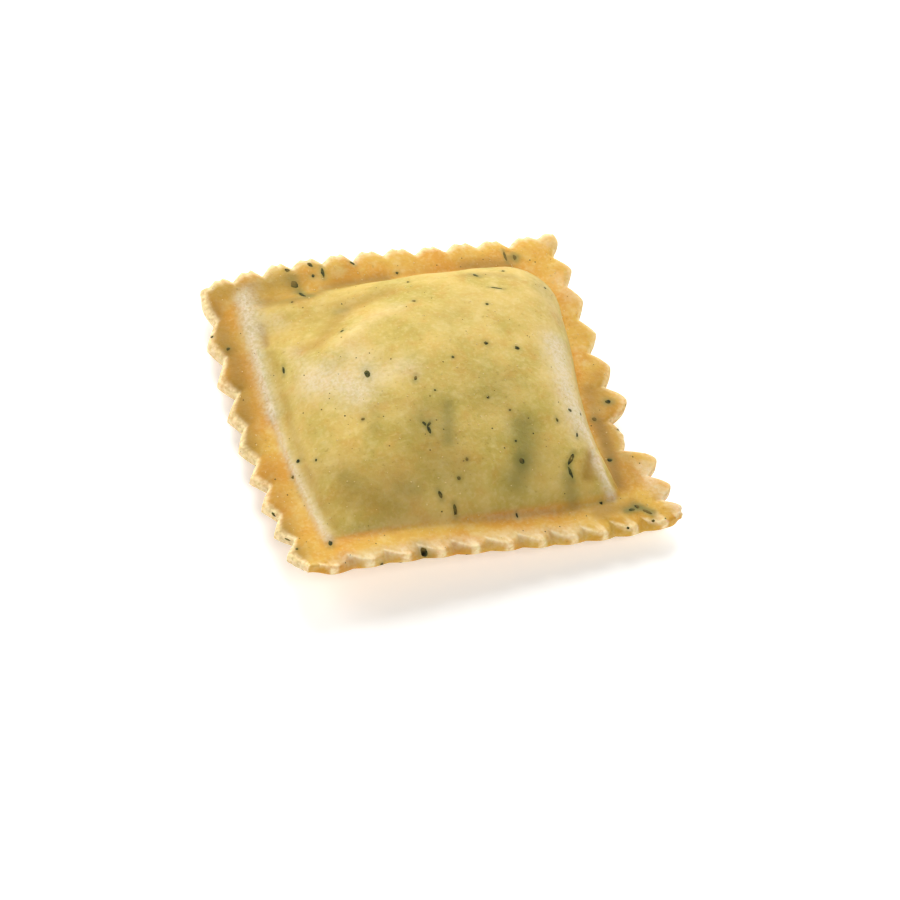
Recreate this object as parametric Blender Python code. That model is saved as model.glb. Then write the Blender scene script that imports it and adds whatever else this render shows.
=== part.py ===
"""A single square raviolo: two pasta sheets pressed together round a domed filling, with a fluted rim.

The parcel lies flat on a table, on the flattened underside of its belly. Its left-to-right direction
is X, its near-to-far direction is Y, and the table is z = 0. Metres.
"""

import math

import bmesh
import bpy
from mathutils import Vector

MM = 0.001

# Outline of the rim
SIDE = 54.0 * MM  # rim, tooth tip to tooth tip, both ways
HALF = SIDE / 2
FRONT_PITCHES = 12  # tooth pitches along the near and far edges
FLANK_PITCHES = 9.5  # tooth pitches along the left and right edges
STEPS_PER_TOOTH = 4
FLANK_DEPTHS = (1.8 * MM, 2.3 * MM)  # tip to valley, of the left and the right edge's teeth
END_DEPTHS = (1.75 * MM, 1.75 * MM)  # and of the near and the far edge's
FLANK_POINTS = (0.8, 0.3)  # how pointed the left and the right edge's teeth are: 0 blunt, 1 plain triangles
END_POINTS = (0.3, 0.5)  # and the near and the far edge's
DEPTH_SPREAD = 0.16  # share by which the depth wanders from tooth to tooth
TOOTH_WANDER = 2.3  # radians of that wander in one tooth pitch
TOOTH_ROUNDNESS = 0.5  # below 1: blunt tips and sharp valleys
NEAR_FOOT = 0.2  # share of the near edge's tooth depth that is left at the lower sheet
FLUTE_REACH = 5.0 * MM  # the flutes fade out this far in from the edge
FAR_EXTRA = 0.35 * MM  # the far edge's teeth lie this much further out
FAR_SLIDE = 0.6 * MM  # and this much further left
FAR_SLANT = 0.3  # and their cuts slant leftwards, by this share of their depth
RIGHT_SPACING = 3.4 * MM  # the right edge's teeth are unevenly spaced, by up to about a third of this
RIGHT_EVEN_AT = (-0.75, 0.2, 1.1)  # where along it, as shares of HALF, they sit as in an even row
FOLD_PLACE = -11.0 * MM  # one tooth of the right edge is folded in, at this place along Y
FOLD_REACH = 2.2 * MM
FOLD_DEPTH = 2.1 * MM

# Corners of the rim: near left, near right, far left, far right
FLANK_LOBES = (7.8 * MM, 5.5 * MM, 5.2 * MM, 3.4 * MM)  # a flank's cuts reach full depth this far from it
END_LOBES = (7.8 * MM, 9.0 * MM, 5.2 * MM, 4.5 * MM)  # and the near or far edge's cuts this far
CORNER_PULLS_X = (1.5 * MM, 0.6 * MM, 0.9 * MM, 0.8 * MM)  # how far the corner is rounded off along X
CORNER_PULLS_Y = (1.5 * MM, 0.8 * MM, 0.9 * MM, 0.6 * MM)  # and along Y
CORNER_REACHES = (4.5 * MM, 2.8 * MM, 4.5 * MM, 2.6 * MM)  # and over how much of the edges

# Thickness and height
RIM_THICKNESS = 2.2 * MM  # both sheets, pressed
EDGE_PINCH = 0.35 * MM  # the cutter wheel thins the very edge by this much on each face
PINCH_REACH = 2.0 * MM
RIM_UNDERSIDE = 2.8 * MM  # height of the level rim's underside above the table
PILLOW_HALF = 21.4 * MM  # from the middle to the crease round the pillow
PILLOW_SHIFT = (-0.2 * MM, 0.1 * MM)
PILLOW_LEAN = 1.7 * MM  # its far end lies this much further right than its middle
PILLOW_TAPER = 0.7 * MM  # and each side is this much further out there, and in at the near end
PILLOW_SWAY = 1.0 * MM  # the right flank bulges by this much in its far half, and is hollow in its near half
PILLOW_HEIGHT = 8.6 * MM  # above the rim's upper face
PILLOW_SOFTNESS = (0.3, 0.04)  # at the left and at the right flank: larger rises more gently
PILLOW_FULLNESS = 2.0  # the right flank is fuller and steeper: above 0, this much squarer than round
PILLOW_CORNER = 0.5  # the far right corner is rounded in plan, more the larger this is
PILLOW_CORNER_POWER = 8  # and over a shorter stretch the larger this is
BELLY_DEPTH = 3.7 * MM  # below the rim's underside, before the table flattens it
BELLY_FULLNESS = 0.8  # below 1: the belly drops steeply from the rim and is flatter below

# How the soft dough lies: the rim's rise and fall
END_CURL = 1.4 * MM  # near and far edges rise
FLANK_DROOP = 0.9 * MM  # left and right edges sink
TWIST = 0.7 * MM
FLANK_WAVE = 1.3 * MM
NEAR_LIFT = 1.25 * MM  # near ends of the flanks rise, far ends sink
CORNER_CURL = 1.1 * MM  # left corners rise, right corners sink

# How the soft dough lies: the outline pulled out of square
EDGE_BOW = 1.25 * MM
FLANK_LEAN = 1.5 * MM
TOOTH_DRIFT = 1.5 * MM
EDGE_SWAY = 1.05 * MM
EDGE_SLOPE = 0.45 * MM
FLANK_SLIDE = 1.4 * MM  # along Y: the right edge's middle slides away, the left one's slides nearer

# Form of the pillow: the filling's lumps, and the shallow trough at its far left
LUMP_HEIGHT = 0.28 * MM
LUMP_SPACING = (26.5 * MM, 22.5 * MM)
LUMP_PHASE = (0.6, -0.5)
TROUGH_CENTRE = (-11.5 * MM, 16.0 * MM)
TROUGH_REACH = (9.5 * MM, 5.0 * MM)
TROUGH_SHARE = 0.42  # share of the pillow's height lost at the trough's middle

DOUGH_COLOUR = (0.72, 0.51, 0.18, 1.0)
DOUGH_ROUGHNESS = 0.55
SHARP_ANGLE = math.radians(62)  # the cut face meets both sheets at sharp edges


def stretched_phase(distance, length, pitches):
    """Tooth phase at a distance along an edge. A last part pitch belongs to a wider corner tooth."""
    phase = distance / length * pitches
    whole = math.floor(pitches)
    last_valley = whole - 0.5
    if pitches > whole and phase > last_valley:
        phase = last_valley + (phase - last_valley) * 0.5 / (pitches - last_valley)
    return phase


def tooth_gap(phase, seed, depth, pointed):
    """The cut at a tooth phase: 0 at a tip, about the depth in a valley."""
    blunt = (0.5 + 0.5 * math.cos(2 * math.pi * phase)) ** TOOTH_ROUNDNESS
    triangle = 1 - 2 * abs(phase - round(phase))
    wander = 1 + DEPTH_SPREAD * math.sin(TOOTH_WANDER * phase + seed)
    return depth * wander * (1 - blunt + (blunt - triangle) * pointed)


def fold(y):
    """How far the right edge is drawn in round its folded tooth."""
    away = (y - FOLD_PLACE) / FOLD_REACH
    return FOLD_DEPTH * math.exp(-away * away)


def uneven(y):
    """How far the right edge's teeth sit from an even row, along Y."""
    v = y / HALF
    near, middle, far = RIGHT_EVEN_AT
    return RIGHT_SPACING * (v - near) * (v - middle) * (far - v)


def fade(distance, reach):
    return max(0.0, 1 - distance / reach)


def grow(distance, reach):
    share = min(1.0, max(0.0, distance / reach))
    return share * share * (3 - 2 * share)


def fluted(x, y, near_share=1.0):
    """A point of the plain square, moved in so that the square's edge becomes the fluted outline."""
    right, far = x > 0, y > 0
    corner = 2 * far + right
    from_flank = HALF - abs(x)
    from_end = HALF - abs(y)
    flank_phase = stretched_phase(y + HALF - (uneven(y) if right else 0.0), SIDE, FLANK_PITCHES)
    flank_gap = tooth_gap(flank_phase, math.copysign(1.0, x), FLANK_DEPTHS[right], FLANK_POINTS[right])
    flank_gap *= grow(from_end, FLANK_LOBES[corner])
    flank_gap += fold(y) if right else 0.0
    end_phase = stretched_phase(x + HALF + (FAR_SLIDE if far else 0.0), SIDE, FRONT_PITCHES)
    end_gap = tooth_gap(end_phase, math.copysign(2.0, y), END_DEPTHS[far], END_POINTS[far])
    end_gap *= grow(from_flank, END_LOBES[corner]) * (1.0 if far else near_share)
    slant = FAR_SLANT * end_gap * fade(from_end, FLUTE_REACH) if far else 0.0
    end_gap -= FAR_EXTRA if far else 0.0
    reach = CORNER_REACHES[corner]
    pull = grow(reach - from_flank, reach) * grow(reach - from_end, reach)
    inward_x = flank_gap * fade(from_flank, FLUTE_REACH) + CORNER_PULLS_X[corner] * pull
    inward_y = end_gap * fade(from_end, FLUTE_REACH) + CORNER_PULLS_Y[corner] * pull
    return x - math.copysign(inward_x, x) - slant, y - math.copysign(inward_y, y)


def pulled(x, y):
    """A point moved as the soft dough is pulled out of square, the pillow more than the rim's edge."""
    u, v = x / HALF, y / HALF
    shift_x = EDGE_BOW * (v * v - 0.5) + FLANK_LEAN * (u * u - 0.5) * v
    shift_y = TOOTH_DRIFT * (v * v - 0.5) + EDGE_SWAY * (u**3 - u) - EDGE_SLOPE * u
    shift_y += FLANK_SLIDE * u * (1 - v * v)
    inside = grow(min(HALF - abs(x), HALF - abs(y)), HALF - PILLOW_HALF)
    shift_x += inside * (PILLOW_SHIFT[0] + PILLOW_LEAN * v + PILLOW_TAPER * u * v)
    shift_x += inside * PILLOW_SWAY * grow(u, 1.0) * math.sin(math.pi * y / PILLOW_HALF)
    shift_y += inside * PILLOW_SHIFT[1]
    return x + shift_x, y + shift_y


def lie(x, y):
    """Rise of the dough at a point, against a level sheet."""
    u, v = x / HALF, y / HALF
    ends = END_CURL * (v * v - 0.5) - FLANK_DROOP * (u * u - 0.5)
    turn = TWIST * u * v + FLANK_WAVE * (u**3 - u)
    corners = -NEAR_LIFT * u * u * v - CORNER_CURL * u * v * v
    return ends + turn + corners


def dome(x, y):
    """The pillow's form, from 0 at the crease and outside it to 1 in the middle."""
    u, v = x / PILLOW_HALF, y / PILLOW_HALF
    squareness = 2 + PILLOW_FULLNESS * grow(u, 1.0)
    rounding = PILLOW_CORNER * grow(u, 1.0) * grow(v, 1.0) * abs(u * v) ** PILLOW_CORNER_POWER
    form = max(0.0, 1 - abs(u) ** squareness) * max(0.0, 1 - v * v) - rounding
    return math.sqrt(max(0.0, form))


def eased(form, softness):
    """The dome's form with a gentler start at the crease, still 1 in the middle."""
    full = 1 - softness * (1 - math.exp(-1 / softness))
    return (form - softness * (1 - math.exp(-form / softness))) / full


def pillow(x, y):
    """Height of the pillow above the rim's upper face."""
    left, right = PILLOW_SOFTNESS
    form = eased(dome(x, y), left + (right - left) * grow(x + PILLOW_HALF, 2 * PILLOW_HALF))
    lumps = math.sin(2 * math.pi * x / LUMP_SPACING[0] + LUMP_PHASE[0])
    lumps *= math.cos(2 * math.pi * y / LUMP_SPACING[1] + LUMP_PHASE[1])
    across = (x - TROUGH_CENTRE[0]) / TROUGH_REACH[0]
    along = (y - TROUGH_CENTRE[1]) / TROUGH_REACH[1]
    trough = TROUGH_SHARE * math.exp(-across * across - along * along)
    return form * (PILLOW_HEIGHT * (1 - trough) + LUMP_HEIGHT * lumps)


def upper_face(x, y):
    edge = min(HALF - abs(x), HALF - abs(y))
    rim = RIM_UNDERSIDE + RIM_THICKNESS - EDGE_PINCH * fade(edge, PINCH_REACH)
    return rim + lie(x, y) + pillow(x, y)


def lower_face(x, y):
    edge = min(HALF - abs(x), HALF - abs(y))
    rim = RIM_UNDERSIDE + EDGE_PINCH * fade(edge, PINCH_REACH)
    belly = BELLY_DEPTH * dome(x, y) ** BELLY_FULLNESS
    return max(0.0, rim + lie(x, y) - belly)


def parcel_mesh(name):
    """The closed parcel: a square grid made a plate, whose two faces then take their forms."""
    bm = bmesh.new()
    columns = FRONT_PITCHES * STEPS_PER_TOOTH
    rows = round(FLANK_PITCHES * STEPS_PER_TOOTH)
    bmesh.ops.create_grid(bm, x_segments=columns, y_segments=rows, size=HALF)
    bmesh.ops.triangulate(bm, faces=bm.faces[:])
    lower = bm.verts[:]
    made = bmesh.ops.extrude_face_region(bm, geom=bm.faces[:], use_keep_orig=True)
    upper = [item for item in made["geom"] if isinstance(item, bmesh.types.BMVert)]
    for face, verts, near_share in ((lower_face, lower, NEAR_FOOT), (upper_face, upper, 1.0)):
        for vert in verts:
            x, y = vert.co.x, vert.co.y
            vert.co = Vector((*pulled(*fluted(x, y, near_share)), face(x, y)))
    centre_on_origin(bm)
    bmesh.ops.recalc_face_normals(bm, faces=bm.faces[:])
    mesh = bpy.data.meshes.new(name)
    bm.to_mesh(mesh)
    bm.free()
    return mesh


def centre_on_origin(bm):
    """Moves the parcel so that the middle of its outline is over the origin."""
    low_x, high_x = min(v.co.x for v in bm.verts), max(v.co.x for v in bm.verts)
    low_y, high_y = min(v.co.y for v in bm.verts), max(v.co.y for v in bm.verts)
    middle = Vector(((low_x + high_x) / 2, (low_y + high_y) / 2, 0.0))
    bmesh.ops.translate(bm, vec=-middle, verts=bm.verts[:])


def dough_material():
    material = bpy.data.materials.new("herbed_dough")
    material.use_nodes = True
    shader = material.node_tree.nodes["Principled BSDF"]
    shader.inputs["Base Color"].default_value = DOUGH_COLOUR
    shader.inputs["Roughness"].default_value = DOUGH_ROUGHNESS
    shader.inputs["Metallic"].default_value = 0.0
    return material


def main():
    for old in list(bpy.data.objects):
        bpy.data.objects.remove(old)
    collection = bpy.data.collections.new("ravioli")
    bpy.context.scene.collection.children.link(collection)
    mesh = parcel_mesh("raviolo")
    mesh.materials.append(dough_material())
    mesh.shade_smooth()
    mesh.set_sharp_from_angle(angle=SHARP_ANGLE)
    collection.objects.link(bpy.data.objects.new("raviolo", mesh))


main()
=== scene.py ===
"""One herbed raviolo on a pale table, lit softly from behind. Metres, +Z up, in the CAD model's frame.

The dough is built fine over the CAD solid's own form, then pressed, creased, floured and painted with shade
and light.
Marks and herb flecks that the photograph shows are given by its pixels and carried onto the dough by the
camera.
"""

import math
import random
from collections import namedtuple

import bmesh
import bpy
from mathutils import Matrix, Vector, noise
from mathutils.bvhtree import BVHTree
from mathutils.kdtree import KDTree


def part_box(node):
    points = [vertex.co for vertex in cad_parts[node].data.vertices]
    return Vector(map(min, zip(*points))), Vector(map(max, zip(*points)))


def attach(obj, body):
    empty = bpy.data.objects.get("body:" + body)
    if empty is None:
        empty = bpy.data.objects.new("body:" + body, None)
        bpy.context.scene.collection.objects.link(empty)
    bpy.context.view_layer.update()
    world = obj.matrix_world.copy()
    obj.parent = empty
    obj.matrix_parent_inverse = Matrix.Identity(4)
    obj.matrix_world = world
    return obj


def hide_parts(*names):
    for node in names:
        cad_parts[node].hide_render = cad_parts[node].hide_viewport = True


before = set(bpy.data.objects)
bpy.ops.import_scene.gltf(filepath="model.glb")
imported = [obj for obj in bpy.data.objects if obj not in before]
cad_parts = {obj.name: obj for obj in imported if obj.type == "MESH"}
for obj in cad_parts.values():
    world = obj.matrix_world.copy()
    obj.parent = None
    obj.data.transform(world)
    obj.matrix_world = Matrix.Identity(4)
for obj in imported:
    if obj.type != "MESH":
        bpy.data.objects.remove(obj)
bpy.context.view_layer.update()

MM = 0.001

# Outline of the rim, as in the CAD solid
SIDE = 54.0 * MM
HALF = SIDE / 2
FRONT_PITCHES = 12
FLANK_PITCHES = 9.5
FLANK_DEPTHS = (1.8 * MM, 2.3 * MM)
END_DEPTHS = (1.75 * MM, 1.75 * MM)
FLANK_POINTS = (0.8, 0.3)
END_POINTS = (0.3, 0.5)
DEPTH_SPREAD = 0.16
TOOTH_WANDER = 2.3
TOOTH_ROUNDNESS = 0.5
NEAR_FOOT = 0.2
FLUTE_REACH = 5.0 * MM
FAR_EXTRA = 0.35 * MM
FAR_SLIDE = 0.6 * MM
FAR_SLANT = 0.3
RIGHT_SPACING = 3.4 * MM
RIGHT_EVEN_AT = (-0.75, 0.2, 1.1)
FOLD_PLACE = -11.0 * MM
FOLD_REACH = 2.2 * MM
FOLD_DEPTH = 2.1 * MM
FLANK_LOBES = (7.8 * MM, 5.5 * MM, 5.2 * MM, 3.4 * MM)
END_LOBES = (7.8 * MM, 9.0 * MM, 5.2 * MM, 4.5 * MM)
CORNER_PULLS_X = (1.5 * MM, 0.6 * MM, 0.9 * MM, 0.8 * MM)
CORNER_PULLS_Y = (1.5 * MM, 0.8 * MM, 0.9 * MM, 0.6 * MM)
CORNER_REACHES = (4.5 * MM, 2.8 * MM, 4.5 * MM, 2.6 * MM)

# Thickness and height, as in the CAD solid
RIM_THICKNESS = 2.2 * MM
EDGE_PINCH = 0.35 * MM
PINCH_REACH = 2.0 * MM
RIM_UNDERSIDE = 2.8 * MM
PILLOW_HALF = 21.4 * MM
PILLOW_SHIFT = (-0.2 * MM, 0.1 * MM)
PILLOW_LEAN = 1.7 * MM
PILLOW_TAPER = 0.7 * MM
PILLOW_SWAY = 1.0 * MM
PILLOW_HEIGHT = 8.6 * MM
PILLOW_SOFTNESS = (0.3, 0.04)
PILLOW_FULLNESS = 2.0
PILLOW_CORNER = 0.5
PILLOW_CORNER_POWER = 8
BELLY_DEPTH = 3.7 * MM
BELLY_FULLNESS = 0.8

# How the soft dough lies, as in the CAD solid
END_CURL = 1.4 * MM
FLANK_DROOP = 0.9 * MM
TWIST = 0.7 * MM
FLANK_WAVE = 1.3 * MM
NEAR_LIFT = 1.25 * MM
CORNER_CURL = 1.1 * MM
EDGE_BOW = 1.25 * MM
FLANK_LEAN = 1.5 * MM
TOOTH_DRIFT = 1.5 * MM
EDGE_SWAY = 1.05 * MM
EDGE_SLOPE = 0.45 * MM
FLANK_SLIDE = 1.4 * MM

# Form of the pillow, as in the CAD solid
LUMP_HEIGHT = 0.28 * MM
LUMP_SPACING = (26.5 * MM, 22.5 * MM)
LUMP_PHASE = (0.6, -0.5)
TROUGH_CENTRE = (-11.5 * MM, 16.0 * MM)
TROUGH_REACH = (9.5 * MM, 5.0 * MM)
TROUGH_SHARE = 0.42

# Fineness of the dough's surface, and the detail that only it has
FRONT_STEPS = 17  # columns of faces for each tooth pitch
FLANK_STEPS = 22
WALL_ROWS = 10
TOP_ROUND = 0.38 * MM  # radius of the cut edge, above and below
FOOT_ROUND = 0.3 * MM
ROUND_SHARE = 0.3  # share of the wall's rows that each rounding takes
CREASE_SMOOTHING = 4  # passes that soften the crease round the pillow
CREASE_SOFTNESS = 0.5  # and how far each one goes
CRISP_FROM = 16.0 * MM  # right of this the crease stays crisp
TIP_CURL = 0.22 * MM  # teeth bend up and down by this much
TIP_CURL_REACH = 2.6 * MM
WAVE_HEIGHT = 0.16 * MM  # gentle unevenness of the hand-made sheet
WAVE_LENGTH = 4.0 * MM
GRAIN_HEIGHT = 0.035 * MM
GRAIN_LENGTH = 0.8 * MM
CUT_REACH = 0.9 * MM  # the cut edge's paler dough fades out this far in
CUT_ON_RIGHT = 0.6  # share of that paleness on the right edge
# A near tooth's pale curl and the pale line by it are partly the cut's paler dough and partly painted light:
# the curl lies on the tooth's right-facing wall, and the line is a painted highlight along the rounded top
# edge.
CURL_PLACES = (-0.12, 0.15)  # pitches from a near tooth's tip to its pale curl, at the left and right end
CURL_HALF = 0.17  # half a curl's width, in pitches
CURL_SIDES = 0.1  # its paleness fades over this many pitches
CURL_REACH = 1.8 * MM  # and fades out this far in
CURL_RISE = 0.15 * MM
CUT_LINE = 0.8 * MM  # left of each curl runs a pale line along the top, which fades out this far in
CUT_LINE_END = 0.2  # it ends at the curl over this many pitches
CUT_LINE_FOOT = 0.6  # and starts at this share of the way up the edge

# Camera, fitted to the photograph
PHOTO_PIXELS = 900
FOCAL_PIXELS = 2965
SENSOR_WIDTH = 36.0  # millimetres
CAMERA_AZIMUTH = math.radians(-25.7)
CAMERA_ELEVATION = math.radians(49.4)
CAMERA_ROLL = math.radians(9.0)
CAMERA_DISTANCE = 400 * MM
CAMERA_CLIP = 4 * MM  # anything nearer isn't drawn
CAMERA_AIM = Vector((-0.1 * MM, -0.8 * MM, 5.0 * MM))
PICTURE_OFFSET = (2.16 * MM, -6.61 * MM)  # of the picture's middle from the aim, right and up
PIXEL = CAMERA_DISTANCE / FOCAL_PIXELS  # size of one of the photograph's pixels on the dough
PILLOW_PIXEL = (430, 400)  # the pillow's middle in the photograph
CLEARANCE = 0.02 * MM  # keeps rays off the face that they start from, and the floor off the belly

# Marks pressed into the dough and painted on it, along paths of the photograph's pixels. Many hold painted
# shade in green and ruddy shares, and some hold painted light in a flour share.
STEP_SHARE = 0.3  # a mark is laid down in steps of this share of its width
MARK_REACH = 2.0  # and is counted out to this many times its width
Mark = namedtuple("Mark", "path width rise flour green ruddy", defaults=(0.0, 0.0, 0.0, 0.0))
MARKS = {
    "left welt, upper": Mark(
        ((243, 300), (249, 328), (258, 358), (266, 389), (274, 415)),
        1.1 * MM, rise=0.3 * MM, flour=0.78, green=0.4),
    "left welt, broad end": Mark(
        ((248, 292), (254, 312), (258, 330)), 1.4 * MM, rise=0.08 * MM, flour=0.4, green=0.3),
    "left welt, lower": Mark(
        ((272, 410), (278, 428), (286, 451), (299, 480), (314, 513), (328, 539)),
        0.7 * MM, rise=0.24 * MM, flour=0.7, green=0.1),
    # The left groove and the shelf's valley are pressed in, and their green and ruddy shares are painted
    # shade in them.
    "left groove's start": Mark(((261, 328), (266, 345)), 0.6 * MM, rise=-0.12 * MM, green=0.2, ruddy=0.6),
    "left groove": Mark(
        ((270, 355), (281, 395), (291, 430), (303, 466), (318, 500), (336, 530)),
        0.9 * MM, rise=-0.16 * MM, green=0.1, ruddy=0.2),
    "shelf's valley": Mark(
        ((300, 350), (318, 343), (333, 325), (352, 304), (388, 291)),
        1.5 * MM, rise=-0.26 * MM, green=0.1, ruddy=0.34),
    "shelf's shoulder": Mark(
        ((310, 378), (330, 360), (348, 338), (370, 320), (396, 308)), 1.7 * MM, rise=0.22 * MM, flour=0.18),
    # The highlight marks are partly flour and partly a painted highlight on the pillow's shoulder.
    "highlight flour": Mark(((316, 380), (345, 382), (358, 392)), 2.6 * MM, flour=0.7),
    "highlight's left": Mark(((292, 352), (304, 366)), 1.2 * MM, flour=0.3),
    "highlight's right": Mark(((357, 354), (378, 372), (408, 367)), 1.9 * MM, flour=0.35),
    "shelf": Mark(((280, 325), (300, 318), (330, 308)), 3.0 * MM, green=0.06, ruddy=0.14),
    "top": Mark(((450, 320), (470, 304)), 4.0 * MM, green=0.12),
    # Partly the filling's tone, and partly painted shade of the dome's slope.
    "centre": Mark(((410, 400), (505, 380)), 4.0 * MM, green=0.11),
    "right shoulder": Mark(((543, 288), (556, 315)), 2.2 * MM, flour=0.15, ruddy=0.12),
    # Partly flour, and partly painted light on the flank that faces the right back softbox.
    "right flank flour": Mark(((556, 345), (566, 385), (580, 425)), 2.4 * MM, flour=0.85),
    "right crease flour": Mark(
        ((585, 430), (593, 450), (604, 480), (611, 498)), 0.65 * MM, rise=0.12 * MM, flour=0.8),
    # The corner dent is pressed in, and its green and ruddy shares are painted shade in it.
    "corner dent": Mark(((593, 460), (589, 476)), 1.3 * MM, rise=-0.6 * MM, green=0.2, ruddy=0.6),
    "corner fold": Mark(((598, 458), (603, 476), (611, 496)), 0.6 * MM, rise=0.35 * MM, flour=0.5),
    # The near face is painted darker: partly the filling's tone under thin dough, and partly painted shade
    # where the face turns away from the back light.
    "near face, left": Mark(((350, 497), (400, 494)), 3.0 * MM, green=0.08, ruddy=0.18),
    "near face, low left": Mark(
        ((308, 478), (338, 470), (352, 500), (390, 502)), 2.2 * MM, green=0.12, ruddy=0.18),
    "near face, upper": Mark(((365, 470), (400, 464), (455, 466)), 2.8 * MM, green=0.1, ruddy=0.12),
    "middle": Mark(((425, 422), (448, 456)), 3.4 * MM, green=0.2, ruddy=0.1),
    "dark middle": Mark(((424, 416), (440, 424)), 1.8 * MM, green=0.25),
    # Partly the filling's tone, and partly painted shade of the dome's slope.
    "right middle": Mark(((500, 395), (530, 450)), 3.8 * MM, green=0.2),
    "far rim, left end": Mark(((210, 292), (250, 286), (286, 280)), 2.0 * MM, green=0.36, ruddy=0.28),
    "far rim, left half": Mark(((300, 276), (345, 270)), 1.8 * MM, green=0.16, ruddy=0.12),
    "shade by the far crease": Mark(
        ((262, 304), (300, 298), (335, 287), (385, 279)), 1.0 * MM, green=0.38, ruddy=0.4),
    # Painted shade: the left rim is made darker and browner along its length by green and ruddy shares.
    "left rim": Mark(
        ((212, 312), (219, 332), (234, 362), (239, 390), (244, 420), (247, 446)),
        1.8 * MM, green=0.34, ruddy=0.68),
    "left rim, near end": Mark(((264, 466), (282, 520)), 2.0 * MM, green=0.12, ruddy=0.36),
    # Painted light on the far end of the right rim, by a flour share.
    "right rim, far": Mark(((560, 280), (572, 296)), 1.4 * MM, flour=0.3),
    # Painted shadow of the pillow on the near half of the right rim, by green and ruddy shares.
    "right rim, near": Mark(((598, 375), (622, 440), (634, 478)), 1.2 * MM, green=0.12, ruddy=0.25),
    "shade by the right crease": Mark(
        ((589, 390), (594, 410), (604, 438), (613, 464), (619, 486)), 1.4 * MM, green=0.24, ruddy=0.5),
    "deeper shade by the right crease": Mark(
        ((598, 422), (605, 440), (612, 464), (617, 484)), 0.8 * MM, green=0.24, ruddy=0.6),
    "near right teeth": Mark(((644, 466), (652, 485), (668, 500), (679, 508)), 1.1 * MM, flour=0.5),
    "far right knob": Mark(((549, 242),), 1.2 * MM, flour=0.35),
    # Painted light: the flour share of the near crease and the near rim lightens them where the pillow shades
    # them.
    "near crease": Mark(
        ((345, 535), (395, 526), (440, 521), (500, 517), (560, 513), (605, 505)), 0.9 * MM, flour=0.12),
    "near crease, right": Mark(((488, 518), (520, 515), (552, 511)), 0.8 * MM, flour=0.14),
    "near rim": Mark(((345, 560), (420, 546), (500, 537), (580, 530)), 1.1 * MM, flour=0.42),
    "near rim, right end": Mark(((599, 513), (632, 506)), 1.2 * MM, green=0.28, ruddy=0.48),
    # Painted shade on the near left corner, by green and ruddy shares.
    "near left corner": Mark(((280, 530), (296, 556)), 1.7 * MM, green=0.3, ruddy=0.6),
    # Painted shade along the far crease, where the pillow meets the rim.
    "far crease": Mark(
        ((268, 303), (310, 295), (352, 282), (400, 273), (450, 268), (500, 266)), 1.3 * MM, ruddy=0.2),
    "far crease, right": Mark(((466, 266), (490, 264), (508, 265)), 1.2 * MM, green=0.3, ruddy=0.45),
    "shade on the far right shoulder": Mark(
        ((466, 275), (490, 274), (512, 277)), 1.1 * MM, green=0.2, ruddy=0.22),
    "flour by the broad end": Mark(((274, 318), (280, 326)), 1.2 * MM, flour=0.25),
    "long smudge": Mark(((448, 405), (449, 440)), 1.0 * MM, rise=-0.05 * MM, green=0.5),
    "big smudge": Mark(((524, 425), (525, 460), (517, 480)), 1.8 * MM, rise=-0.08 * MM, green=0.6),
    "smudge round the black dot": Mark(((521, 461),), 0.9 * MM, green=0.5),
    "corner smudge": Mark(((568, 478), (573, 503)), 1.1 * MM, green=0.5),
    "left smudge": Mark(((375, 415), (373, 428)), 1.1 * MM, green=0.25),
    "low smudge": Mark(((400, 487), (415, 490)), 1.2 * MM, green=0.3),
    "low left smudge": Mark(((345, 478), (356, 484)), 1.1 * MM, green=0.25),
    "high smudge": Mark(((337, 311), (345, 308)), 0.6 * MM, green=0.35),
    "far leaf's green": Mark(((511, 258), (517, 257)), 0.7 * MM, green=0.6),
    "near right leaf's green": Mark(((627, 511), (640, 507), (653, 512)), 0.6 * MM, green=0.75),
    "rim leaf's green": Mark(((300, 293), (312, 296)), 0.5 * MM, green=0.6),
    "right rim's green": Mark(((606, 402), (612, 402)), 0.6 * MM, green=0.5),
}

# Herb on the dough, in the photograph's pixels: x, y and size of dots, both ends and width of dashes
HERB_DOTS = (
    (486, 343, 4.5), (517, 348, 4.5), (453, 357, 3.0), (414, 301, 3.5), (342, 331, 3.5), (487, 304, 3.0),
    (488, 397, 2.8), (467, 459, 3.2), (459, 478, 3.2), (363, 419, 3.5), (298, 461, 3.5), (316, 460, 2.8),
    (293, 477, 3.5), (435, 390, 2.2), (510, 410, 2.2), (570, 410, 3.6), (608, 402, 5.0), (594, 419, 4.5),
    (610, 460, 4.5), (254, 467, 3.2), (212, 337, 3.2), (228, 349, 3.5), (292, 302, 2.6), (397, 273, 3.0),
    (545, 288, 2.6), (628, 528, 2.6), (653, 521, 3.2), (601, 503, 3.2), (382, 564, 3.2), (297, 549, 2.8),
    (313, 276, 3.4), (287, 270, 4.6), (503, 271, 3.2), (516, 441, 2.6), (408, 282, 2.4), (620, 430, 2.4),
)
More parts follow.
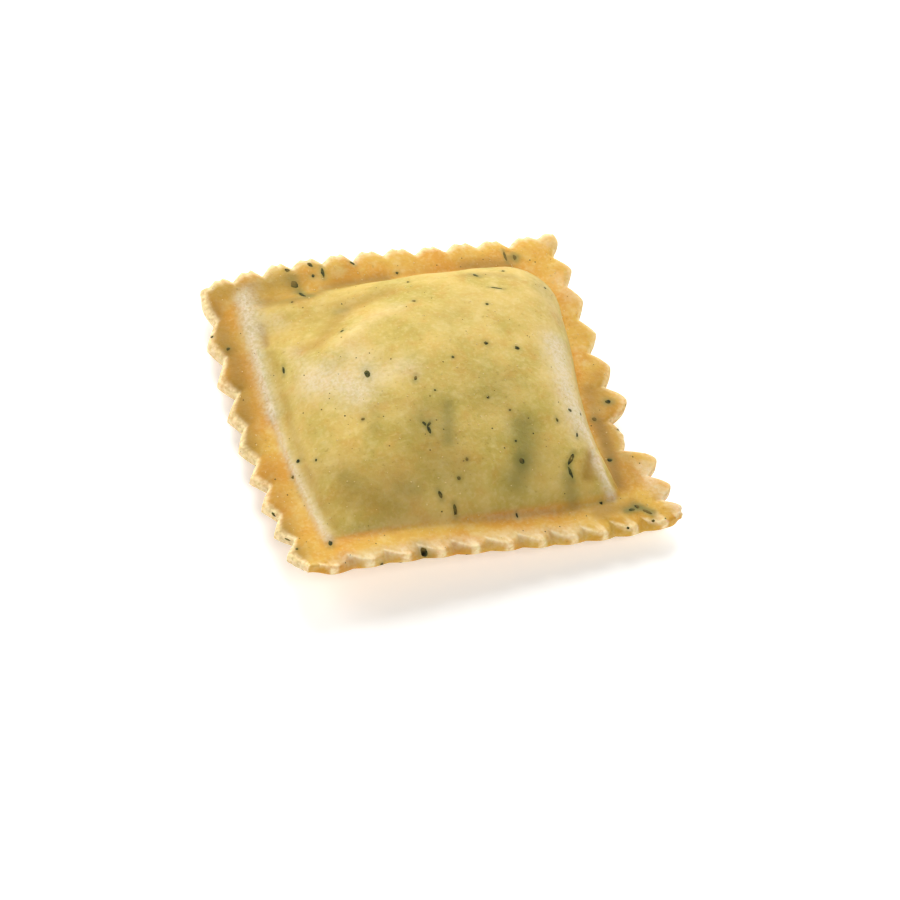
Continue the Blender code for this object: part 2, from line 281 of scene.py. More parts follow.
HERB_DASHES = (
    (521, 457, 523, 465, 6.0), (366, 369, 368, 378, 5.5), (283, 366, 284, 375, 2.8),
    (416, 375, 415, 381, 3.0), (422, 421, 427, 426, 2.6), (431, 421, 427, 427, 2.6),
    (427, 425, 431, 434, 2.8), (438, 490, 442, 499, 3.4), (454, 503, 456, 517, 3.4),
    (516, 512, 518, 518, 1.8), (574, 452, 568, 466, 3.6), (568, 465, 573, 480, 3.4),
    (577, 432, 577, 438, 2.0), (472, 274, 479, 277, 3.4), (488, 287, 504, 289, 1.6),
    (503, 250, 507, 263, 2.4), (292, 279, 297, 290, 6.5), (299, 292, 306, 297, 3.0),
    (321, 266, 324, 278, 3.2), (307, 262, 313, 267, 3.4), (349, 261, 355, 265, 2.4),
    (330, 540, 331, 546, 4.0), (271, 512, 276, 517, 3.8), (421, 548, 426, 557, 8.0),
    (628, 510, 636, 509, 3.6), (634, 505, 640, 508, 4.0), (641, 509, 653, 514, 3.2),
    (513, 254, 516, 261, 3.6), (556, 417, 558, 422, 2.2), (580, 412, 581, 416, 2.0),
    (284, 538, 291, 541, 2.6),
)
HERB_SEED = 7
FLECK_SIDES = 9
FLECK_WOBBLE = (0.72, 1.15)  # its outline wanders between these shares of an oval's
FLECK_SHOULDER = 0.7  # share of its outline where it starts to dip
FLECK_PROUD = 0.03 * MM  # it stands out and dips in by this much
FLECK_SPREAD = 1.4  # the pixels' sizes leave out the flecks' pale rims
HALO_SPREAD = 1.1  # green leaks into the dough round a fleck, this many times as wide
HALO_GREEN = 0.5
HIDDEN_FLECKS = 90
HIDDEN_FLECK_LENGTH = (0.4 * MM, 1.6 * MM)
HIDDEN_FLECK_WIDTH = (0.3 * MM, 0.6 * MM)
FINE_FLECKS = 220  # dust of the herb, all over
FINE_FLECK_SIZE = (0.1 * MM, 0.3 * MM)
SEMOLINA_SEED = 11
SEMOLINA_GRAINS = 260
SEMOLINA_SIZE = (0.12 * MM, 0.26 * MM)
SEMOLINA_WOBBLE = (0.75, 1.1)  # a grain's corners wander between these shares of its radius


def linear(red, green, blue):
    """A colour whose channels run from 0 to 255, as a linear one, by the sRGB formula."""
    shares = (channel / 255 for channel in (red, green, blue))
    return (*(((s + 0.055) / 1.055) ** 2.4 if s > 0.04 else s / 12.92 for s in shares), 1.0)


# Colours
RIM_COLOUR = linear(204, 162, 66)
RIM_WARM_COLOUR = linear(200, 142, 42)
PILLOW_COLOUR = linear(200, 172, 92)
PILLOW_GREEN_COLOUR = linear(180, 158, 74)
BLOTCH_COLOUR = linear(190, 138, 50)
GRAIN_COLOUR = linear(218, 198, 134)
CUT_COLOUR = linear(236, 214, 164)
# Ruddy brown, which most marks lay on as painted shade in creases and grooves and along the rims
RUDDY_AND_PAINTED_SHADE_COLOUR = linear(162, 108, 26)
# Olive green of the herb and filling, which some marks also lay on as painted shade
GREEN_COLOUR = linear(118, 112, 54)
SPECK_COLOUR = linear(140, 112, 48)
# Pale flour, which some marks also lay on as painted light and a painted highlight
FLOUR_AND_PAINTED_LIGHT_COLOUR = linear(216, 202, 174)
HERB_DARK_COLOUR = linear(34, 36, 14)
HERB_COLOUR = linear(84, 82, 36)
HERB_OLIVE_COLOUR = linear(116, 94, 40)
SEMOLINA_COLOUR = linear(206, 174, 100)
FLOOR_COLOUR = linear(252, 252, 250)

# Noises of the dough: the length of their lumps, and their detail
DOUGH_NOISES = {
    "patches": (6.0 * MM, 4.0),
    "blotches": (2.4 * MM, 4.0),
    "dents": (1.1 * MM, 3.0),
    "crumbs": (0.55 * MM, 2.0),
    "grain": (0.3 * MM, 3.0),
}
PILLOW_MASK_REACH = 0.14  # the filling's paler dough starts over this share of the dome's form
PATCH_RANGE = (0.4, 0.62)

# Tints of the dough: a noise, its values where the tint starts and is full, the full share, and the colour
DOUGH_TINTS = (
    ("blotches", 0.52, 0.7, 0.36, BLOTCH_COLOUR),
    ("blotches", 0.46, 0.3, 0.35, GRAIN_COLOUR),
    ("crumbs", 0.5, 0.7, 0.25, GRAIN_COLOUR),
    ("crumbs", 0.34, 0.26, 0.35, SPECK_COLOUR),
)

# Breaks in the pale cut edge and in the flour and painted light: a noise, its values where thinnest and full,
# the least share
CUT_BREAKS = (("crumbs", 0.3, 0.6, 0.45),)
FLOUR_AND_PAINTED_LIGHT_BREAKS = (("grain", 0.38, 0.58, 0.7), ("crumbs", 0.38, 0.52, 0.65))

# Bumps of the dough: distance and strength
DENTS_BUMP = (0.14 * MM, 0.7)
GRAIN_BUMP = (0.05 * MM, 0.8)

# Herb and semolina: the length of a noise's lumps, and its values where the colour changes
LEAF_LENGTH = 0.4 * MM
LEAF_RANGE = (0.35, 0.65)
OLIVE_LENGTH = 2.5 * MM
OLIVE_RANGE = (0.5, 0.6)
OLIVE_SHARE = 0.8
SEMOLINA_LENGTH = 0.6 * MM

# Shaders' plain settings
DOUGH_SHADER = {
    "Roughness": 0.6,
    "Specular IOR Level": 0.2,
    "Subsurface Weight": 0.45,
    "Subsurface Radius": (1.0, 0.55, 0.22),
    "Subsurface Scale": 1.0 * MM,
}
HERB_SHADER = {"Roughness": 0.75, "Specular IOR Level": 0.15}
SEMOLINA_SHADER = {"Roughness": 0.35}
FLOOR_SHADER = {
    "Roughness": 0.9,
    "Base Color": FLOOR_COLOUR,
    "Emission Color": FLOOR_COLOUR,
    "Emission Strength": 0.25,
}

# Surroundings. A softbox has an azimuth from the far side, an elevation, a size and a power
FLOOR_HALF = 1500 * MM
SOFTBOX_DISTANCE = 600 * MM
SOFTBOXES = {
    "back key": (12, 45, 420 * MM, 3.0),
    "left back": (-48, 24, 400 * MM, 2.5),
    "right back": (46, 24, 400 * MM, 1.4),
    "front fill": (180, 45, 400 * MM, 2.15),
}
ROOM_COLOUR = (1.0, 1.0, 1.0, 1.0)
ROOM_STRENGTH = 0.06


def stretched_phase(distance, length, pitches):
    """Tooth phase at a distance along an edge. A last part pitch belongs to a wider corner tooth."""
    phase = distance / length * pitches
    whole = math.floor(pitches)
    last_valley = whole - 0.5
    if pitches > whole and phase > last_valley:
        phase = last_valley + (phase - last_valley) * 0.5 / (pitches - last_valley)
    return phase


def tooth_gap(phase, seed, depth, pointed):
    """The cut at a tooth phase: 0 at a tip, about the depth in a valley."""
    blunt = (0.5 + 0.5 * math.cos(2 * math.pi * phase)) ** TOOTH_ROUNDNESS
    triangle = 1 - 2 * abs(phase - round(phase))
    wander = 1 + DEPTH_SPREAD * math.sin(TOOTH_WANDER * phase + seed)
    return depth * wander * (1 - blunt + (blunt - triangle) * pointed)


def fold(y):
    """How far the right edge is drawn in round its folded tooth."""
    away = (y - FOLD_PLACE) / FOLD_REACH
    return FOLD_DEPTH * math.exp(-away * away)


def uneven(y):
    """How far the right edge's teeth sit from an even row, along Y."""
    v = y / HALF
    near, middle, far = RIGHT_EVEN_AT
    return RIGHT_SPACING * (v - near) * (v - middle) * (far - v)


def fade(distance, reach):
    return max(0.0, 1 - distance / reach)


def grow(distance, reach):
    share = min(1.0, max(0.0, distance / reach))
    return share * share * (3 - 2 * share)


def fluted(x, y, near_share=1.0):
    """A point of the plain square, moved in so that the square's edge becomes the fluted outline."""
    right, far = x > 0, y > 0
    corner = 2 * far + right
    from_flank = HALF - abs(x)
    from_end = HALF - abs(y)
    flank_phase = stretched_phase(y + HALF - (uneven(y) if right else 0.0), SIDE, FLANK_PITCHES)
    flank_gap = tooth_gap(flank_phase, math.copysign(1.0, x), FLANK_DEPTHS[right], FLANK_POINTS[right])
    flank_gap *= grow(from_end, FLANK_LOBES[corner])
    flank_gap += fold(y) if right else 0.0
    end_phase = stretched_phase(x + HALF + (FAR_SLIDE if far else 0.0), SIDE, FRONT_PITCHES)
    end_gap = tooth_gap(end_phase, math.copysign(2.0, y), END_DEPTHS[far], END_POINTS[far])
    end_gap *= grow(from_flank, END_LOBES[corner]) * (1.0 if far else near_share)
    slant = FAR_SLANT * end_gap * fade(from_end, FLUTE_REACH) if far else 0.0
    end_gap -= FAR_EXTRA if far else 0.0
    reach = CORNER_REACHES[corner]
    pull = grow(reach - from_flank, reach) * grow(reach - from_end, reach)
    inward_x = flank_gap * fade(from_flank, FLUTE_REACH) + CORNER_PULLS_X[corner] * pull
    inward_y = end_gap * fade(from_end, FLUTE_REACH) + CORNER_PULLS_Y[corner] * pull
    return x - math.copysign(inward_x, x) - slant, y - math.copysign(inward_y, y)


def pulled(x, y):
    """A point moved as the soft dough is pulled out of square, the pillow more than the rim's edge."""
    u, v = x / HALF, y / HALF
    shift_x = EDGE_BOW * (v * v - 0.5) + FLANK_LEAN * (u * u - 0.5) * v
    shift_y = TOOTH_DRIFT * (v * v - 0.5) + EDGE_SWAY * (u**3 - u) - EDGE_SLOPE * u
    shift_y += FLANK_SLIDE * u * (1 - v * v)
    inside = grow(min(HALF - abs(x), HALF - abs(y)), HALF - PILLOW_HALF)
    shift_x += inside * (PILLOW_SHIFT[0] + PILLOW_LEAN * v + PILLOW_TAPER * u * v)
    shift_x += inside * PILLOW_SWAY * grow(u, 1.0) * math.sin(math.pi * y / PILLOW_HALF)
    shift_y += inside * PILLOW_SHIFT[1]
    return x + shift_x, y + shift_y


def lie(x, y):
    """Rise of the dough at a point, against a level sheet."""
    u, v = x / HALF, y / HALF
    ends = END_CURL * (v * v - 0.5) - FLANK_DROOP * (u * u - 0.5)
    turn = TWIST * u * v + FLANK_WAVE * (u**3 - u)
    corners = -NEAR_LIFT * u * u * v - CORNER_CURL * u * v * v
    return ends + turn + corners


def dome(x, y):
    """The pillow's form, from 0 at the crease and outside it to 1 in the middle."""
    u, v = x / PILLOW_HALF, y / PILLOW_HALF
    squareness = 2 + PILLOW_FULLNESS * grow(u, 1.0)
    rounding = PILLOW_CORNER * grow(u, 1.0) * grow(v, 1.0) * abs(u * v) ** PILLOW_CORNER_POWER
    form = max(0.0, 1 - abs(u) ** squareness) * max(0.0, 1 - v * v) - rounding
    return math.sqrt(max(0.0, form))


def eased(form, softness):
    """The dome's form with a gentler start at the crease, still 1 in the middle."""
    full = 1 - softness * (1 - math.exp(-1 / softness))
    return (form - softness * (1 - math.exp(-form / softness))) / full


def pillow(x, y):
    """Height of the pillow above the rim's upper face."""
    left, right = PILLOW_SOFTNESS
    form = eased(dome(x, y), left + (right - left) * grow(x + PILLOW_HALF, 2 * PILLOW_HALF))
    lumps = math.sin(2 * math.pi * x / LUMP_SPACING[0] + LUMP_PHASE[0])
    lumps *= math.cos(2 * math.pi * y / LUMP_SPACING[1] + LUMP_PHASE[1])
    across = (x - TROUGH_CENTRE[0]) / TROUGH_REACH[0]
    along = (y - TROUGH_CENTRE[1]) / TROUGH_REACH[1]
    trough = TROUGH_SHARE * math.exp(-across * across - along * along)
    return form * (PILLOW_HEIGHT * (1 - trough) + LUMP_HEIGHT * lumps)


def tip_curl(x, y):
    """Small bend of each tooth, fading out towards the pillow."""
    edge = min(HALF - abs(x), HALF - abs(y))
    spot = Vector((x, y, 0.0)) / (SIDE / FRONT_PITCHES)
    return TIP_CURL * noise.noise(spot) * fade(edge, TIP_CURL_REACH)


def upper_face(x, y):
    edge = min(HALF - abs(x), HALF - abs(y))
    rim = RIM_UNDERSIDE + RIM_THICKNESS - EDGE_PINCH * fade(edge, PINCH_REACH)
    if y < 0:
        rim += CURL_RISE * grow(CURL_HALF - abs(beside_curl(x)), CURL_HALF) * fade(HALF + y, CURL_REACH)
    return rim + lie(x, y) + pillow(x, y) + tip_curl(x, y)


def lower_face(x, y):
    edge = min(HALF - abs(x), HALF - abs(y))
    rim = RIM_UNDERSIDE + EDGE_PINCH * fade(edge, PINCH_REACH)
    belly = BELLY_DEPTH * dome(x, y) ** BELLY_FULLNESS
    return max(0.0, rim + lie(x, y) + tip_curl(x, y) - belly)


def wall_profile(share):
    """Inset, lift and share of the height at a share of the way up the cut edge, round above and below."""
    if share < ROUND_SHARE:
        turn = math.radians(90) * (1 - share / ROUND_SHARE)
        return FOOT_ROUND * (1 - math.cos(turn)), FOOT_ROUND * (1 - math.sin(turn)), 0.0
    if share > 1 - ROUND_SHARE:
        turn = math.radians(90) * (1 - (1 - share) / ROUND_SHARE)
        return TOP_ROUND * (1 - math.cos(turn)), -TOP_ROUND * (1 - math.sin(turn)), 1.0
    rise = (share - ROUND_SHARE) / (1 - 2 * ROUND_SHARE)
    return 0.0, FOOT_ROUND * (1 - rise) - TOP_ROUND * rise, rise


def plate_point(x, y, share):
    """Where a point of the unit plate goes. Its share is 0 on the lower face and 1 on the upper one."""
    inset, offset, rise = wall_profile(share)
    scale = 1 - inset / HALF
    near_share = NEAR_FOOT + (1 - NEAR_FOOT) * grow(share, 1.0)
    x, y = x * scale, y * scale
    low, high = lower_face(x, y), upper_face(x, y)
    height = low + (high - low) * rise + offset
    return Vector((*pulled(*fluted(x, y, near_share)), height))


def beside_curl(x):
    """Pitches from the nearest curl of the near edge, to its right."""
    along = (x + HALF) / SIDE
    left, right = CURL_PLACES
    beside = along * FRONT_PITCHES - left - (right - left) * along
    return beside - round(beside)


def cut_paleness_and_painted_light(x, y, share):
    """How pale the dough is near the cut edge. On the near edge only the curls and the lines by them are,
    partly the cut's paler dough and partly painted light.
    """
    from_flank, from_end = HALF - abs(x), HALF - abs(y)
    if y < 0 and from_end < from_flank:
        beside = beside_curl(x)
        curl = grow(CURL_HALF - abs(beside), CURL_SIDES) * fade(from_end, CURL_REACH)
        line = grow(share - CUT_LINE_FOOT, 1 - CUT_LINE_FOOT) * fade(from_end, CUT_LINE)
        line *= grow(CURL_HALF - beside, CUT_LINE_END)
        return max(curl, line)
    pale = fade(min(from_flank, from_end), CUT_REACH)
    return pale * CUT_ON_RIGHT if x > 0 and from_flank < from_end else pale


def border(verts, columns):
    """The vertices round a grid's border, in order. The grid has that many vertices in a row."""
    rows = [verts[start:start + columns] for start in range(0, len(verts), columns)]
    left, right = ([row[side] for row in rows] for side in (0, -1))
    return rows[0][:-1] + right[:-1] + rows[-1][:0:-1] + left[:0:-1]


def unit_plate():
    """A closed square plate, one unit high, as a bmesh. Its walls are made face by face, in a fixed order."""
    bm = bmesh.new()
    columns, rows = FRONT_PITCHES * FRONT_STEPS, round(FLANK_PITCHES * FLANK_STEPS)
    rings = []
    for height in (0, 1):
        raised = Matrix.Translation((0, 0, height))
        made = bmesh.ops.create_grid(bm, x_segments=columns, y_segments=rows, size=HALF, matrix=raised)
        rings.append(border(made["verts"], columns + 1))
    for row in range(1, WALL_ROWS):
        ring = [bm.verts.new((vert.co.x, vert.co.y, row / WALL_ROWS)) for vert in rings[0]]
        rings.insert(row, ring)
    for lower, upper in zip(rings, rings[1:]):
        for place in range(len(lower)):
            bm.faces.new((lower[place - 1], lower[place], upper[place], upper[place - 1]))
    return bm


def parcel():
    """The fine dough as a bmesh: a square plate with rows down its edge, which then takes its form."""
    bm = unit_plate()
    top = bm.verts.layers.float.new("top")
    pillow_share = bm.verts.layers.float.new("pillow")
    cut = bm.verts.layers.float.new("cut")
    for vert in bm.verts:
        x, y, share = vert.co
        vert[top] = share
        vert[pillow_share] = grow(dome(x, y), PILLOW_MASK_REACH) if share > 0 else 0.0
        vert[cut] = cut_paleness_and_painted_light(x, y, share) if share > 0 else 0.0
        vert.co = plate_point(x, y, share)
    inner = [
        vert for vert in bm.verts
        if vert[top] == 1 and vert.co.x < CRISP_FROM
        and all(face.verts[0][top] == face.verts[2][top] for face in vert.link_faces)
    ]
    for _ in range(CREASE_SMOOTHING):
        bmesh.ops.smooth_vert(
            bm, verts=inner, factor=CREASE_SOFTNESS, use_axis_x=False, use_axis_y=False, use_axis_z=True)
    bmesh.ops.recalc_face_normals(bm, faces=bm.faces[:])
    return bm


def camera_axes():
    """The camera's place, and its directions to the right, up and back."""
    back = Vector((
        math.sin(CAMERA_AZIMUTH) * math.cos(CAMERA_ELEVATION),
        -math.cos(CAMERA_AZIMUTH) * math.cos(CAMERA_ELEVATION),
        math.sin(CAMERA_ELEVATION),
    ))
    level = Vector((math.cos(CAMERA_AZIMUTH), math.sin(CAMERA_AZIMUTH), 0.0))
    right = Matrix.Rotation(CAMERA_ROLL, 3, back) @ level
    up = back.cross(right)
    place = CAMERA_AIM + back * CAMERA_DISTANCE
    middle = CAMERA_AIM + right * PICTURE_OFFSET[0] + up * PICTURE_OFFSET[1]
    back = (place - middle).normalized()
    right = up.cross(back).normalized()
    return place, right, back.cross(right), back


def on_dough(tree, x, y):
    """The point of the dough that a pixel shows, or else that the next one towards the pillow shows."""
    place, right, up, back = camera_axes()
    middle = PHOTO_PIXELS / 2
    pixel = Vector((x, y))
    while True:
        ray = right * (pixel.x - middle) - up * (pixel.y - middle) - back * FOCAL_PIXELS
        spot = tree.ray_cast(place, ray.normalized())[0]
        if spot is not None:
            return spot
        pixel += (Vector(PILLOW_PIXEL) - pixel).normalized()


def close_steps(path, pixels):
    """The pixels along a path, about that many pixels apart."""
    for (x0, y0), (x1, y1) in zip(path, path[1:]):
        count = max(1, round(math.hypot(x1 - x0, y1 - y0) / pixels))
        for step in range(count):
            yield x0 + (x1 - x0) * step / count, y0 + (y1 - y0) * step / count
    yield path[-1]


def halos():
    """The green that leaks into the dough round each fleck of herb, as marks."""
    dots = [(((x, y),), size) for x, y, size in HERB_DOTS]
    dashes = [(((x0, y0), (x1, y1)), width) for x0, y0, x1, y1, width in HERB_DASHES]
    return [Mark(path, size * HALO_SPREAD * PIXEL, green=HALO_GREEN) for path, size in dots + dashes]


def press_marks(bm):
    """Presses each mark into the dough, and keeps its colours' shares at each vertex, painted shade and
    painted light among them.
    """
    layers = {name: bm.verts.layers.float.new(name) for name in ("flour", "green", "ruddy")}
    bm.verts.ensure_lookup_table()
    bm.verts.index_update()
    bm.normal_update()
    tree = BVHTree.FromBMesh(bm)
    nearby = KDTree(len(bm.verts))
    for vert in bm.verts:
        nearby.insert(vert.co, vert.index)
    nearby.balance()
    lift = {}
    for mark in [*MARKS.values(), *halos()]:
        shares = {}
        for x, y in close_steps(mark.path, STEP_SHARE * mark.width / PIXEL):
            spot = on_dough(tree, x, y)
            for _, index, distance in nearby.find_range(spot, MARK_REACH * mark.width):
                share = math.exp(-((distance / mark.width) ** 2))
                shares[index] = max(shares.get(index, 0.0), share)
        for index, share in shares.items():
            vert = bm.verts[index]
            lift[index] = lift.get(index, 0.0) + share * mark.rise
            for name, layer in layers.items():
                vert[layer] = 1 - (1 - vert[layer]) * (1 - share * getattr(mark, name))
    for index, rise in lift.items():
        bm.verts[index].co += bm.verts[index].normal * rise


def roughen(bm):
    """Gives the upper face and the cut edge the unevenness and the grain of rolled dough."""
    top = bm.verts.layers.float["top"]
    bm.normal_update()
    for vert in bm.verts:
        wave = WAVE_HEIGHT * noise.noise(vert.co / WAVE_LENGTH)
        grain = GRAIN_HEIGHT * noise.noise(vert.co / GRAIN_LENGTH)
        vert.co += vert.normal * (wave + grain) * vert[top]


def fit_over(bm, low, high):
    """Moves the dough so that the middle of its outline is over the middle of the CAD solid's."""
    xs = [vert.co.x for vert in bm.verts]
    ys = [vert.co.y for vert in bm.verts]
    shift = Vector((low.x + high.x - min(xs) - max(xs), low.y + high.y - min(ys) - max(ys), 0.0)) / 2
    bmesh.ops.translate(bm, vec=shift, verts=bm.verts[:])


def new_piece(name, bm, material):
    """A shown piece made of a bmesh, riding on the part's one body."""
    mesh = bpy.data.meshes.new(name)
    bm.to_mesh(mesh)
    mesh.materials.append(material)
    mesh.shade_smooth()
    piece = bpy.data.objects.new(name, mesh)
    bpy.context.scene.collection.objects.link(piece)
    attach(piece, "root")
    return piece


def add_fleck(bm, tree, start, end, width, rng):
    """One flat bit of herb from start to end, whose edge dips into the dough."""
    middle = (start + end) / 2
    length = max((end - start).length, width)
    _, normal, _, _ = tree.find_nearest(middle)
    along = end - start
    if along.length == 0:
        along = Vector((rng.uniform(-1, 1), rng.uniform(-1, 1), 0.0))
    along = (along - normal * along.dot(normal)).normalized()
    across = normal.cross(along)
    wobble = [rng.uniform(*FLECK_WOBBLE) for _ in range(FLECK_SIDES)]

    def laid(spot, rise):
        foot, foot_normal, _, _ = tree.find_nearest(spot)
        return bm.verts.new(foot + foot_normal * rise)

    rings = []
    for reach, rise in ((FLECK_SHOULDER, FLECK_PROUD), (1.0, -FLECK_PROUD)):
        ring = []
        for side in range(FLECK_SIDES):
            angle = 2 * math.pi * side / FLECK_SIDES
            out = along * (length / 2 * math.cos(angle)) + across * (width / 2 * math.sin(angle))
            ring.append(laid(middle + out * reach * wobble[side], rise))
        rings.append(ring)
    inner, outer = rings
    for side in range(FLECK_SIDES):
        after = (side + 1) % FLECK_SIDES
        bm.faces.new((inner[side], outer[side], outer[after], inner[after]))
    bm.faces.new(inner)
    bm.faces.new(reversed(outer))


def hidden_spots(bm, tree, count, rng):
    """Points spread over the faces of the dough that the camera doesn't see."""
    place = camera_axes()[0]
    faces = bm.faces[:]
    found = []
    while len(found) < count:
        face = rng.choice(faces)
        spot = face.calc_center_median()
        outside = spot + face.normal * CLEARANCE
        if tree.ray_cast(outside, (place - outside).normalized())[0] is not None:
            found.append((spot, face.normal.copy()))
    return found


def herb_flecks(dough, tree, material):
    """The herb's bits: those of the photograph, dust all over, and more on the faces that it doesn't show."""
    rng = random.Random(HERB_SEED)
    bm = bmesh.new()
    for x, y, size in HERB_DOTS:
        spot = on_dough(tree, x, y)
        add_fleck(bm, tree, spot, spot, FLECK_SPREAD * size * PIXEL, rng)
    for x0, y0, x1, y1, width in HERB_DASHES:
        start, end = on_dough(tree, x0, y0), on_dough(tree, x1, y1)
        add_fleck(bm, tree, start, end, FLECK_SPREAD * width * PIXEL, rng)
    faces = dough.faces[:]
    for _ in range(FINE_FLECKS):
        spot = rng.choice(faces).calc_center_median()
        add_fleck(bm, tree, spot, spot, rng.uniform(*FINE_FLECK_SIZE), rng)
    for spot, normal in hidden_spots(dough, tree, HIDDEN_FLECKS, rng):
        turn = Matrix.Rotation(rng.uniform(0, 2 * math.pi), 3, normal)
        along = turn @ normal.orthogonal().normalized()
        length = rng.uniform(*HIDDEN_FLECK_LENGTH)
        width = rng.uniform(*HIDDEN_FLECK_WIDTH)
        add_fleck(bm, tree, spot - along * length / 2, spot + along * length / 2, width, rng)
    new_piece("herb_flecks", bm, material)
    bm.free()


def semolina_grains(dough, material):
    """Fine pale grains of semolina, scattered on the dough and half sunk in it."""
    rng = random.Random(SEMOLINA_SEED)
    top = dough.verts.layers.float["top"]
    faces = [face for face in dough.faces if face.verts[0][top] == 1]
    bm = bmesh.new()
    for _ in range(SEMOLINA_GRAINS):
        face = rng.choice(faces)
        size = rng.uniform(*SEMOLINA_SIZE)
        grain = bmesh.ops.create_icosphere(bm, subdivisions=1, radius=size / 2)["verts"]
        for vert in grain:
            vert.co *= rng.uniform(*SEMOLINA_WOBBLE)
        bmesh.ops.translate(bm, vec=face.calc_center_median(), verts=grain)
    new_piece("semolina_grains", bm, material)
    bm.free()


class Surface:
    """A material whose Principled shader is fed by nodes on the object's own coordinates."""

    MIX_COLOURS = (6, 7)  # a mix node's two colour sockets, which share their names with others
    MIX_RESULT = 2

    def __init__(self, name, settings):
        self.material = bpy.data.materials.new(name)
        self.material.use_nodes = True
        self.nodes = self.material.node_tree.nodes
        self.links = self.material.node_tree.links
        self.shader = self.nodes["Principled BSDF"]
        for socket, value in settings.items():
            self.shader.inputs[socket].default_value = value
        self.place = self.nodes.new("ShaderNodeTexCoord").outputs["Object"]

    def noise(self, length, detail=2.0):
        """Noise whose lumps are about that long, as a socket."""
        node = self.nodes.new("ShaderNodeTexNoise")
        node.inputs["Scale"].default_value = 1 / length
        node.inputs["Detail"].default_value = detail
        self.links.new(self.place, node.inputs["Vector"])
        return node.outputs["Fac"]

    def attribute(self, name):
        node = self.nodes.new("ShaderNodeAttribute")
        node.attribute_name = name
        return node.outputs["Fac"]

    def ramp(self, value, low, high, to_low=0.0, to_high=1.0):
        """The value stretched from low..high to other limits, and held inside them."""
        node = self.nodes.new("ShaderNodeMapRange")
        node.inputs["From Min"].default_value = low
        node.inputs["From Max"].default_value = high
        node.inputs["To Min"].default_value = to_low
        node.inputs["To Max"].default_value = to_high
        self.links.new(value, node.inputs["Value"])
        return node.outputs["Result"]

    def times(self, first, second):
        node = self.nodes.new("ShaderNodeMath")
        node.operation = "MULTIPLY"
        self.links.new(first, node.inputs[0])
        self.links.new(second, node.inputs[1])
        return node.outputs[0]

    def mix(self, share, first, second):
        """A blend of two colours, each a socket or a plain colour."""
        node = self.nodes.new("ShaderNodeMix")
        node.data_type = "RGBA"
        self.links.new(share, node.inputs["Factor"])
        for value, index in zip((first, second), self.MIX_COLOURS):
            if isinstance(value, tuple):
                node.inputs[index].default_value = value
            else:
                self.links.new(value, node.inputs[index])
        return node.outputs[self.MIX_RESULT]

    def bump(self, height, distance, strength, under=None):
        node = self.nodes.new("ShaderNodeBump")
        node.inputs["Distance"].default_value = distance
        node.inputs["Strength"].default_value = strength
        self.links.new(height, node.inputs["Height"])
        if under is not None:
            self.links.new(under, node.inputs["Normal"])
        return node.outputs["Normal"]

    def colour(self, socket):
        self.links.new(socket, self.shader.inputs["Base Color"])

    def normal(self, socket):
        self.links.new(socket, self.shader.inputs["Normal"])


def dough_surface():
    """Rolled egg dough: warm at the rim, paler over the filling, mottled, floured in places, and painted with
    shade and light.
    """
    surface = Surface("herbed_dough_fine", DOUGH_SHADER)
    noises = {name: surface.noise(length, detail) for name, (length, detail) in DOUGH_NOISES.items()}

    def broken(share, breaks):
        """A share that is thinner where the noises are low."""
        for name, low, high, least in breaks:
            share = surface.times(share, surface.ramp(noises[name], low, high, least, 1.0))
        return share

    patches = surface.ramp(noises["patches"], *PATCH_RANGE)
    rim = surface.mix(patches, RIM_COLOUR, RIM_WARM_COLOUR)
    over_filling = surface.mix(patches, PILLOW_COLOUR, PILLOW_GREEN_COLOUR)
    colour = surface.mix(surface.attribute("pillow"), rim, over_filling)
    for name, low, high, share, tint in DOUGH_TINTS:
        colour = surface.mix(surface.ramp(noises[name], low, high, 0.0, share), colour, tint)
    # ruddy brown, mostly painted shade
    colour = surface.mix(surface.attribute("ruddy"), colour, RUDDY_AND_PAINTED_SHADE_COLOUR)
    # green of the herb and filling, and painted shade where the marks lay it in creases and along the rims
    colour = surface.mix(surface.attribute("green"), colour, GREEN_COLOUR)
    # the cut's paler dough, and on the near edge partly painted light
    colour = surface.mix(broken(surface.attribute("cut"), CUT_BREAKS), colour, CUT_COLOUR)
    # flour, and painted light and a painted highlight where the marks lay it on the crease, the rims and the
    # pillow's shoulder
    colour = surface.mix(broken(surface.attribute("flour"), FLOUR_AND_PAINTED_LIGHT_BREAKS), colour, FLOUR_AND_PAINTED_LIGHT_COLOUR)
    surface.colour(colour)
    dents = surface.bump(noises["dents"], *DENTS_BUMP)
    surface.normal(surface.bump(noises["grain"], *GRAIN_BUMP, under=dents))
    return surface.material


def herb_surface():
    """Dried herb: nearly black green, lighter in places, and some bits olive brown."""
    surface = Surface("herb_leaf", HERB_SHADER)
    lighter = surface.ramp(surface.noise(LEAF_LENGTH), *LEAF_RANGE)
    olive = surface.ramp(surface.noise(OLIVE_LENGTH), *OLIVE_RANGE, 0.0, OLIVE_SHARE)
    colour = surface.mix(lighter, HERB_DARK_COLOUR, HERB_COLOUR)
    surface.colour(surface.mix(olive, colour, HERB_OLIVE_COLOUR))
    return surface.material


def semolina_surface():
    """Semolina: pale yellow, a little glassy."""
    surface = Surface("semolina", SEMOLINA_SHADER)
    surface.colour(surface.mix(surface.noise(SEMOLINA_LENGTH), SEMOLINA_COLOUR, GRAIN_COLOUR))
    return surface.material


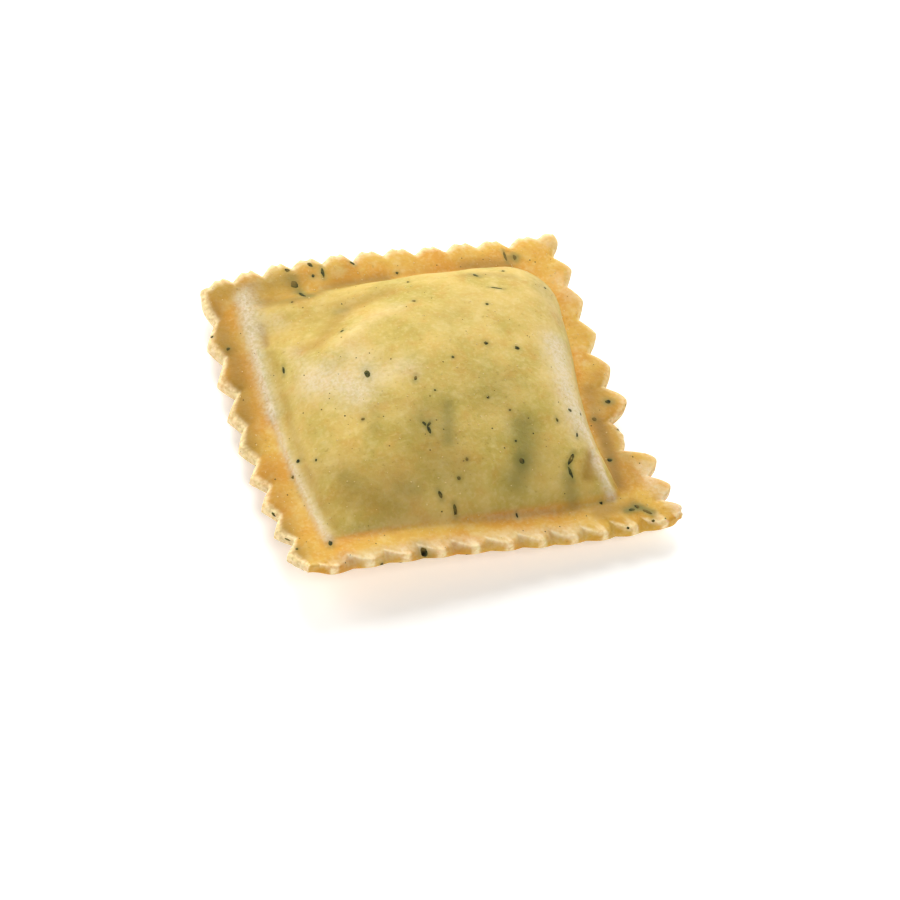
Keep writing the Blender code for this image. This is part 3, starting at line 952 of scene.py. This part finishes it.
def add_camera():
    place, right, up, back = camera_axes()
    data = bpy.data.cameras.new("camera")
    data.sensor_width = SENSOR_WIDTH
    data.lens = FOCAL_PIXELS / PHOTO_PIXELS * SENSOR_WIDTH
    data.clip_start = CAMERA_CLIP
    camera = bpy.data.objects.new("camera", data)
    camera.matrix_world = Matrix((right, up, back)).transposed().to_4x4()
    camera.location = place
    bpy.context.scene.collection.objects.link(camera)
    bpy.context.scene.camera = camera


def add_softbox(name, azimuth, elevation, size, power):
    """A square soft light that looks at the raviolo. Azimuth 0 is on the far side, and 90 on the right."""
    data = bpy.data.lights.new(name, "AREA")
    data.size = size
    data.energy = power
    light = bpy.data.objects.new(name, data)
    turn, tilt = math.radians(azimuth), math.radians(elevation)
    direction = Vector((math.sin(turn) * math.cos(tilt), math.cos(turn) * math.cos(tilt), math.sin(tilt)))
    light.location = direction * SOFTBOX_DISTANCE
    light.rotation_euler = light.location.to_track_quat("Z", "Y").to_euler()
    bpy.context.scene.collection.objects.link(light)


def add_surroundings():
    """The pale floor, the softboxes and the white room round them."""
    bm = bmesh.new()
    bmesh.ops.create_grid(bm, x_segments=1, y_segments=1, size=FLOOR_HALF)
    mesh = bpy.data.meshes.new("floor")
    bm.to_mesh(mesh)
    bm.free()
    mesh.materials.append(Surface("pale_floor", FLOOR_SHADER).material)
    floor = bpy.data.objects.new("floor", mesh)
    floor.location.z = -CLEARANCE
    bpy.context.scene.collection.objects.link(floor)
    for name, (azimuth, elevation, size, power) in SOFTBOXES.items():
        add_softbox(name, azimuth, elevation, size, power)
    world = bpy.data.worlds.new("room")
    world.use_nodes = True
    background = world.node_tree.nodes["Background"]
    background.inputs["Color"].default_value = ROOM_COLOUR
    background.inputs["Strength"].default_value = ROOM_STRENGTH
    bpy.context.scene.world = world
    bpy.context.scene.view_settings.view_transform = "Standard"


def main():
    add_camera()
    add_surroundings()
    dough = parcel()
    fit_over(dough, *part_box("raviolo"))
    press_marks(dough)
    roughen(dough)
    dough.normal_update()
    piece = new_piece("raviolo_dough", dough, dough_surface())
    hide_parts("raviolo")
    tree = BVHTree.FromBMesh(dough)
    herb_flecks(dough, tree, herb_surface())
    semolina_grains(dough, semolina_surface())
    dough.free()


main()
